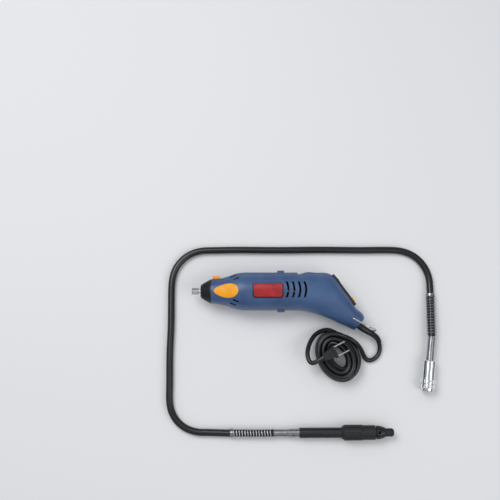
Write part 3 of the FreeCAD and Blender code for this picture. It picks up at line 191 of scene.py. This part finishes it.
PLATE_HATCH_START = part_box("name_plate")[1][1] / MM - 0.3
FINISHES = {
    # Glass-filled nylon, spark-eroded mould: satin steel blue with a soft, broken highlight.
    "moulded_blue_nylon": finish("moulded_blue_nylon", ("#37507a", "#415f8a"), (0.34, 0.46), 0.6, 0.02,
                                 patch=35.0, Coat_Weight=0.12, Coat_Roughness=0.3),
    # Acrylic-coated plate: smooth, even red.
    "red_plate_enamel": finish("red_plate_enamel", ("#9a121b", "#b01c27"), (0.2, 0.3), 2.0, 0.01,
                               Coat_Weight=0.3, Coat_Roughness=0.15),
    # Its rim: black, with slanted blue strokes along the upper edge.
    "hatched_black_rim": finish("hatched_black_rim", ("#0b0c0e", "#121417"), (0.35, 0.5), 0.6, 0.02, patch=6.0,
                                hatch=(PLATE_HATCH_START, 1.5, "#3c5a8e")),
    # Overmoulded elastomer: warm amber with a dry sheen.
    "amber_elastomer": finish("amber_elastomer", ("#f29e08", "#f9ad14"), (0.42, 0.55), 0.5, 0.03, patch=9.0),
    # Acetal buttons: denser colour, slight polish from thumbs.
    "amber_acetal": finish("amber_acetal", ("#f0960a", "#f7a418"), (0.25, 0.4), 0.8, 0.01, patch=3.0),
    "yellow_acetal": finish("yellow_acetal", ("#f0b41a", "#f7c63a"), (0.25, 0.4), 0.8, 0.01, patch=3.0),
    # Polycarbonate trim: near-black with fine moulded grain.
    "black_polycarbonate": finish("black_polycarbonate", ("#0d0e10", "#15171a"), (0.36, 0.5), 0.5, 0.03, patch=8.0),
    "grey_polycarbonate": finish("grey_polycarbonate", ("#2c2f33", "#3a3d42"), (0.42, 0.58), 0.5, 0.03, patch=6.0),
    # Extruded neoprene sheath: black, long soft highlight, faint lengthwise drag marks.
    "extruded_neoprene": finish("extruded_neoprene", ("#0c0d0e", "#131416"), (0.26, 0.36), 1.2, 0.02, patch=40.0,
                                Specular_IOR_Level=0.55),
    # PVC lead and boot: blacker and a little shinier than the sheath.
    "soft_pvc": finish("soft_pvc", ("#101113", "#18191b"), (0.26, 0.4), 0.9, 0.03, patch=15.0),
    # Moulded rubber grip: matte charcoal.
    "moulded_rubber": finish("moulded_rubber", ("#121315", "#1a1c1f"), (0.5, 0.66), 0.45, 0.04, patch=6.0),
    # Machined nickel-plated steel: bright, with fine turning lines across the axis.
    "turned_nickel": finish("turned_nickel", ("#c6c8cb", "#dadcde"), (0.16, 0.3), 0.35, 0.006, patch=5.0,
                            stretch=(4, 0.3, 0.3), Metallic=1.0),
    # Chrome plate on the union nut: mirror bright with slight smudges.
    "chrome_plate": finish("chrome_plate", ("#d8dadd", "#e6e8ea"), (0.08, 0.2), 3.0, 0.004, patch=9.0, Metallic=1.0),
    # Zinc-plated swaged tube: greyer and duller than chrome.
    "zinc_plate": finish("zinc_plate", ("#888b90", "#a3a7ab"), (0.2, 0.34), 0.8, 0.01, patch=4.0, Metallic=1.0),
    # Drawn spring wire: bright along its crest.
    "spring_wire": finish("spring_wire", ("#c2c4c6", "#dddfe0"), (0.18, 0.3), 0.5, 0.01, patch=3.0, Metallic=1.0),
    # The same wire with painted shade: the coupling's guard lies in the case's shaded pocket and is drawn dull grey.
    "shaded_spring_wire": finish("shaded_spring_wire", ("#6e7074", "#8b8d91"), (0.3, 0.42), 0.5, 0.01, patch=3.0,
                                Metallic=1.0),
    # Electrical steel laminations: grey with sheet lines across the axis.
    "lamination_steel": finish("lamination_steel", ("#6c6f73", "#85888b"), (0.35, 0.5), 0.5, 0.05, patch=6.0,
                               stretch=(2, 0.05, 0.05), Metallic=1.0),
    # Enamelled magnet wire: copper brown with a winding texture.
    "magnet_wire": finish("magnet_wire", ("#8f4a22", "#b5652f"), (0.25, 0.4), 0.7, 0.12, patch=3.0, Metallic=1.0),
    # Brass and bronze of the brush holders and bushes.
    "rolled_brass": finish("rolled_brass", ("#c9b880", "#dccb95"), (0.16, 0.3), 0.6, 0.006, patch=4.0, Metallic=1.0),
    # Pressed carbon: dull, slightly sparkling black.
    "pressed_carbon": finish("pressed_carbon", ("#0b0b0c", "#1e1e20"), (0.5, 0.7), 0.3, 0.02, patch=1.0),
    # Lacquered glass-fibre board.
    "lacquered_board": finish("lacquered_board", ("#14462a", "#1c5a37"), (0.25, 0.4), 1.0, 0.01, patch=4.0),
}
NODE_FINISHES = {
    "moulded_blue_nylon": ("housing_upper", "housing_lower", "brush_cap_top", "brush_cap_bottom"),
    "red_plate_enamel": ("name_plate",),
    "hatched_black_rim": ("name_plate_rim",),
    "amber_elastomer": ("grip_inlay_upper", "grip_inlay_lower"),
    "amber_acetal": ("lock_button",),
    "yellow_acetal": ("switch_slider",),
    "black_polycarbonate": ("nose_cap", "switch_panel", "dial_carrier", "switch_body",
                            "cooling_fan", "handpiece_body", "handpiece_nose", "handpiece_collet_nut"),
    "grey_polycarbonate": ("speed_dial",),
    "soft_pvc": ("strain_relief", "plug_body"),
    "moulded_rubber": ("handpiece_grip",),
    "turned_nickel": ("plug_blades", "collet_nut", "collet", "rotor_shaft", "lock_pin",
                      "front_bearing_outer", "front_bearing_inner", "rear_bearing_outer", "rear_bearing_inner",
                      "core_stub", "drive_tip", "handpiece_spindle", "handpiece_collet", "flex_core"),
    "chrome_plate": ("coupling_nut", "hanging_bail"),
    "zinc_plate": ("housing_screws", "coupling_ferrule", "handpiece_ferrule"),
    "spring_wire": ("brush_springs", "lock_spring"),
    "lamination_steel": ("stator_core", "rotor_core"),
    "magnet_wire": ("field_coils", "rotor_winding", "commutator"),
    "rolled_brass": ("brush_holders", "handpiece_bushes"),
    "pressed_carbon": ("carbon_brushes",),
    "lacquered_board": ("control_board",),
}


def finish_nodes():
    """Give every carried-over node its material."""
    for finish_name, nodes in NODE_FINISHES.items():
        for node in nodes:
            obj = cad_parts[node]
            for slot in obj.material_slots:
                slot.material = FINISHES[finish_name]


# ---------------------------------------------------------------- cords
SHEATH_RADIUS = 4.75
SHEATH_ROUTE = [
    (156.8, 24.9, 10.2), (157.1, 45.0, 8.9), (157.8, 66.5, 7.0), (158.3, 90.0, 5.2),
    (157.9, 105.6, 4.8), (151.0, 122.6, 4.8), (137.8, 135.8, 4.8), (120.5, 142.6, 4.8),
    (98.0, 143.3, 4.8), (63.0, 142.7, 4.8), (8.0, 143.5, 4.8), (-50.0, 142.7, 4.8),
    (-102.0, 143.4, 4.8), (-133.0, 142.7, 4.8), (-155.2, 142.4, 4.8), (-172.5, 135.5, 4.8),
    (-185.8, 122.3, 4.8), (-192.6, 105.0, 4.8), (-193.2, 81.0, 4.8), (-192.4, 42.0, 4.8),
    (-193.9, 2.0, 4.8), (-193.1, -36.0, 4.8), (-193.4, -65.0, 4.8), (-186.8, -81.9, 4.8),
    (-174.4, -94.3, 4.8), (-158.0, -100.7, 4.8), (-138.0, -100.9, 4.9), (-118.5, -101.6, 5.7),
    (-97.5, -101.5, 6.4), (-76.1, -101.7, 7.0), (-55.1, -101.4, 7.6),
]
CORD_RADIUS = 3.0
CORD_ROUTE = [
    (86.0, 17.5, 9.0), (88.2, 10.7, 4.4), (86.5, 1.9, 3.1), (80.6, -4.9, 3.1), (72.0, -7.5, 3.1),
]
# the lead climbs the coil's side and lies down on it
CORD_CLIMB = [(67.0, -3.2, 5.5), (63.5, 3.5, 10.5), (58.5, 11.0, 17.0), (51.0, 17.5, 23.0), (43.0, 22.0, 24.4)]
# the free end leaves the lowest turn on the far side and bends up into the back of the plug
PLUG_LEAD = [
    (22.5, 34.0, 4.2), (12.0, 33.5, 7.0), (2.0, 28.5, 11.0), (-5.0, 20.0, 16.0), (-9.5, 10.0, 21.5),
    (-11.5, -0.5, 26.5), (-9.0, -10.0, 29.5), (-3.5, -12.2, 30.1),
]
PLUG_REAR = (1.7, -8.9, 30.1)
COIL_CENTRE = Vector((30.4, -2.1, 0))
COIL_HALF_LENGTH = 32.0            # centreline of the outermost turn
COIL_HALF_WIDTH = 24.5
COIL_TILT = math.radians(-62)
COIL_PITCH = 6.25
COIL_LAYERS = (21.6, 15.4, 9.3, 3.2)
COIL_SHIFTS = ((-1.6, -1.0), (1.4, 0.8), (-1.0, 1.3), (0.6, -0.4))   # how far each layer lies off centre
COIL_STEPS = 20                    # points in one turn
COIL_START = math.radians(145)
COIL_SPIRAL_TURNS = 2.0
COIL_EVEN_TURNS = 0.75


def coil_point(angle, offset, z):
    """Point on the oval shrunk by offset, at one angle from its long axis."""
    along = (COIL_HALF_LENGTH - offset) * math.cos(angle)
    across = (COIL_HALF_WIDTH - offset) * math.sin(angle)
    cos, sin = math.cos(COIL_TILT), math.sin(COIL_TILT)
    return COIL_CENTRE + Vector((along * cos - across * sin, along * sin + across * cos, z))


def coil_route():
    """Turns wound down through the layers, inwards and outwards in turn, slightly uneven."""
    points = []
    angle = COIL_START
    step = 2 * math.pi / COIL_STEPS
    width = COIL_SPIRAL_TURNS * COIL_PITCH
    for layer, z in enumerate(COIL_LAYERS):
        inward = layer % 2 == 0
        spiral = round(COIL_SPIRAL_TURNS * COIL_STEPS)
        even = round(COIL_EVEN_TURNS * COIL_STEPS)
        for i in range(spiral + even):
            share = min(i / spiral, 1.0)
            offset = width * (share if inward else 1 - share)
            below = COIL_LAYERS[min(layer + 1, len(COIL_LAYERS) - 1)]
            drop = min(max((i - spiral) / (COIL_STEPS * 0.3), 0.0), 1.0)
            shift = Vector((*COIL_SHIFTS[layer], 0)).lerp(Vector((*COIL_SHIFTS[min(layer + 1, 3)], 0)), drop)
            points.append(coil_point(angle, offset, z + (below - z) * drop) + shift)
            angle += step
    return points


def mains_cord_route():
    """Whole centreline of the mains cord, in millimetres."""
    return CORD_ROUTE + CORD_CLIMB + coil_route() + PLUG_LEAD + [PLUG_REAR]


def nurbs_line(name, points, radius):
    """Round cord on one smooth spline with the points, in millimetres, as its control points."""
    curve = bpy.data.curves.new(name, "CURVE")
    curve.dimensions = "3D"
    curve.resolution_u = 6
    curve.bevel_depth = radius * MM
    curve.bevel_resolution = 5
    curve.use_fill_caps = True
    spline = curve.splines.new("NURBS")
    spline.points.add(len(points) - 1)
    for point, place in zip(spline.points, points):
        point.co = (*(Vector(place) * MM), 1.0)
    spline.order_u = 3
    spline.use_endpoint_u = True
    obj = bpy.data.objects.new(name, curve)
    scene.collection.objects.link(obj)
    return obj


def add_cords():
    """The mains cord with its coil and plug, and the sheath of the flexible shaft."""
    cord = nurbs_line("mains_cord", mains_cord_route(), CORD_RADIUS)
    cord.data.materials.append(FINISHES["soft_pvc"])
    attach(cord, "motor_tool")
    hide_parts("power_cord", "cord_coil")
    sheath = nurbs_line("shaft_sheath", SHEATH_ROUTE, SHEATH_RADIUS)
    sheath.data.materials.append(FINISHES["extruded_neoprene"])
    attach(sheath, "flexible_shaft")
    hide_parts("flex_sheath", "flex_core")
    return sheath


# ---------------------------------------------------------------- spring guards
GUARD_TURNS = 14
GUARD_POINTS_PER_TURN = 28
GUARD_WIRE = 0.72
GUARD_LENGTH = 54.0
GUARD_COLLAR_LENGTH = 4.0
GUARD_COLLAR_RADIUS = 6.1
GUARD_COLLAR_CHAMFER = 0.5
GUARD_COLLAR_FIT = 0.05


def line_of(cord):
    """Points along a cord's own spline, in metres."""
    bare = cord.copy()
    bare.data = cord.data.copy()
    bare.data.bevel_depth = 0
    bare.data.use_fill_caps = False
    bare.data.resolution_u = 24
    scene.collection.objects.link(bare)
    mesh = bpy.data.meshes.new_from_object(bare.evaluated_get(bpy.context.evaluated_depsgraph_get()))
    points = [v.co.copy() for v in mesh.vertices]
    bpy.data.objects.remove(bare)
    bpy.data.meshes.remove(mesh)
    return points


def stretch_of(points, start, end):
    """The part of a line between two distances from its first point, in millimetres."""
    kept = []
    gone = 0.0
    for here, there in zip(points, points[1:]):
        if start * MM <= gone <= end * MM:
            kept.append(here)
        gone += (there - here).length
    return kept


def coil_tree():
    """Geometry tree that winds a round wire about the incoming line."""
    tree = bpy.data.node_groups.new("wound_wire", "GeometryNodeTree")
    tree.interface.new_socket("Line", in_out="INPUT", socket_type="NodeSocketGeometry")
    for name, value in (("Turns", 10.0), ("Coil Radius", 0.005), ("Wire Radius", 0.0007)):
        tree.interface.new_socket(name, in_out="INPUT", socket_type="NodeSocketFloat").default_value = value
    tree.interface.new_socket("Finish", in_out="INPUT", socket_type="NodeSocketMaterial")
    tree.interface.new_socket("Wire", in_out="OUTPUT", socket_type="NodeSocketGeometry")
    given = add(tree, "NodeGroupInput").outputs
    line = add(tree, "GeometryNodeMeshToCurve", {"Mesh": given["Line"]})
    steps = add(tree, "ShaderNodeMath", {0: given["Turns"], 1: float(GUARD_POINTS_PER_TURN)}, operation="MULTIPLY")
    dense = add(tree, "GeometryNodeResampleCurve", {"Curve": line.outputs[0], "Count": steps.outputs[0]})
    share = add(tree, "GeometryNodeSplineParameter").outputs["Factor"]
    turned = add(tree, "ShaderNodeMath", {0: share, 1: given["Turns"]}, operation="MULTIPLY")
    angle = add(tree, "ShaderNodeMath", {0: turned.outputs[0], 1: 2 * math.pi}, operation="MULTIPLY")
    tangent = add(tree, "GeometryNodeInputTangent")
    normal = add(tree, "GeometryNodeInputNormal")
    spoke = add(tree, "ShaderNodeVectorRotate", {"Vector": normal.outputs[0], "Axis": tangent.outputs[0],
                                                 "Angle": angle.outputs[0]}, rotation_type="AXIS_ANGLE")
    offset = add(tree, "ShaderNodeVectorMath", {0: spoke.outputs[0], "Scale": given["Coil Radius"]},
                 operation="SCALE")
    wound = add(tree, "GeometryNodeSetPosition", {"Geometry": dense.outputs[0], "Offset": offset.outputs[0]})
    section = add(tree, "GeometryNodeCurvePrimitiveCircle", {"Resolution": 12, "Radius": given["Wire Radius"]})
    wire = add(tree, "GeometryNodeCurveToMesh", {"Curve": wound.outputs[0], "Profile Curve": section.outputs[0],
                                                 "Fill Caps": True})
    solid = add(tree, "GeometryNodeRealizeInstances", {"Geometry": wire.outputs[0]})
    painted = add(tree, "GeometryNodeSetMaterial", {"Geometry": solid.outputs[0], "Material": given["Finish"]})
    add(tree, "NodeGroupOutput", {"Wire": painted.outputs[0]})
    return tree


def grown(name, mesh, tree, values):
    """Mesh object made by a geometry tree from a start mesh, with its named inputs set first."""
    obj = bpy.data.objects.new(name, mesh)
    scene.collection.objects.link(obj)
    modifier = obj.modifiers.new("shape", "NODES")
    modifier.node_group = tree
    sockets = {item.name: item.identifier for item in tree.interface.items_tree if item.in_out == "INPUT"}
    for key, value in values.items():
        modifier[sockets[key]] = value
    made = bpy.data.meshes.new_from_object(obj.evaluated_get(bpy.context.evaluated_depsgraph_get()))
    obj.modifiers.clear()
    obj.data = made
    return obj


def line_mesh(name, points):
    """Mesh of one open chain of edges."""
    mesh = bpy.data.meshes.new(name)
    mesh.from_pydata(points, [(i, i + 1) for i in range(len(points) - 1)], [])
    return mesh


def turned_on(name, start, direction, outline, finish_name, segments=48):
    """Closed solid of revolution about a line; outline is (station, radius) pairs in millimetres."""
    direction = direction.normalized()
    side = direction.orthogonal().normalized()
    other = direction.cross(side)
    verts = []
    faces = []
    count = len(outline)
    for i in range(segments):
        a = 2 * math.pi * i / segments
        spoke = side * math.cos(a) + other * math.sin(a)
        verts += [start + (direction * x + spoke * r) * MM for x, r in outline]
    for i in range(segments):
        j = (i + 1) % segments
        for k in range(count):
            m = (k + 1) % count
            faces.append((i * count + k, i * count + m, j * count + m, j * count + k))
    mesh = bpy.data.meshes.new(name)
    mesh.from_pydata(verts, [], faces)
    mesh.materials.append(FINISHES[finish_name])
    mesh.update()
    obj = bpy.data.objects.new(name, mesh)
    scene.collection.objects.link(obj)
    return obj


def add_guards(sheath):
    """Open wire coils with an end collar over both ends of the sheath."""
    line = line_of(sheath)
    tree = coil_tree()
    # the coupling's guard takes the spring wire darkened with painted shade
    for node, points, wire_finish in (("coupling_spring_guard", line, "shaded_spring_wire"),
                                      ("handpiece_spring_guard", line[::-1], "spring_wire")):
        run = stretch_of(points, 0.5, GUARD_LENGTH)
        wire = grown(node.replace("guard", "wire"), line_mesh(node + "_line", run), tree,
                     {"Turns": float(GUARD_TURNS), "Coil Radius": (SHEATH_RADIUS + GUARD_WIRE) * MM,
                      "Wire Radius": GUARD_WIRE * MM, "Finish": FINISHES[wire_finish]})
        for face in wire.data.polygons:
            face.use_smooth = True
        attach(wire, "flexible_shaft")
        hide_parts(node)
        tip = stretch_of(points, GUARD_LENGTH - 1, GUARD_LENGTH + GUARD_COLLAR_LENGTH)
        bore = SHEATH_RADIUS + GUARD_COLLAR_FIT
        rim = GUARD_COLLAR_RADIUS - GUARD_COLLAR_CHAMFER
        outline = [(0, bore), (GUARD_COLLAR_LENGTH, bore), (GUARD_COLLAR_LENGTH, rim),
                   (GUARD_COLLAR_LENGTH - GUARD_COLLAR_CHAMFER, GUARD_COLLAR_RADIUS),
                   (GUARD_COLLAR_CHAMFER, GUARD_COLLAR_RADIUS), (0, rim)]
        collar = turned_on(node.replace("guard", "collar"), tip[0], tip[-1] - tip[0], outline, "zinc_plate")
        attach(collar, "flexible_shaft")


set_camera()
set_world()
set_table()
for lamp, settings in LAMPS.items():
    soft_light(lamp, *settings)
scene.view_settings.view_transform = "Standard"
finish_nodes()
add_guards(add_cords())
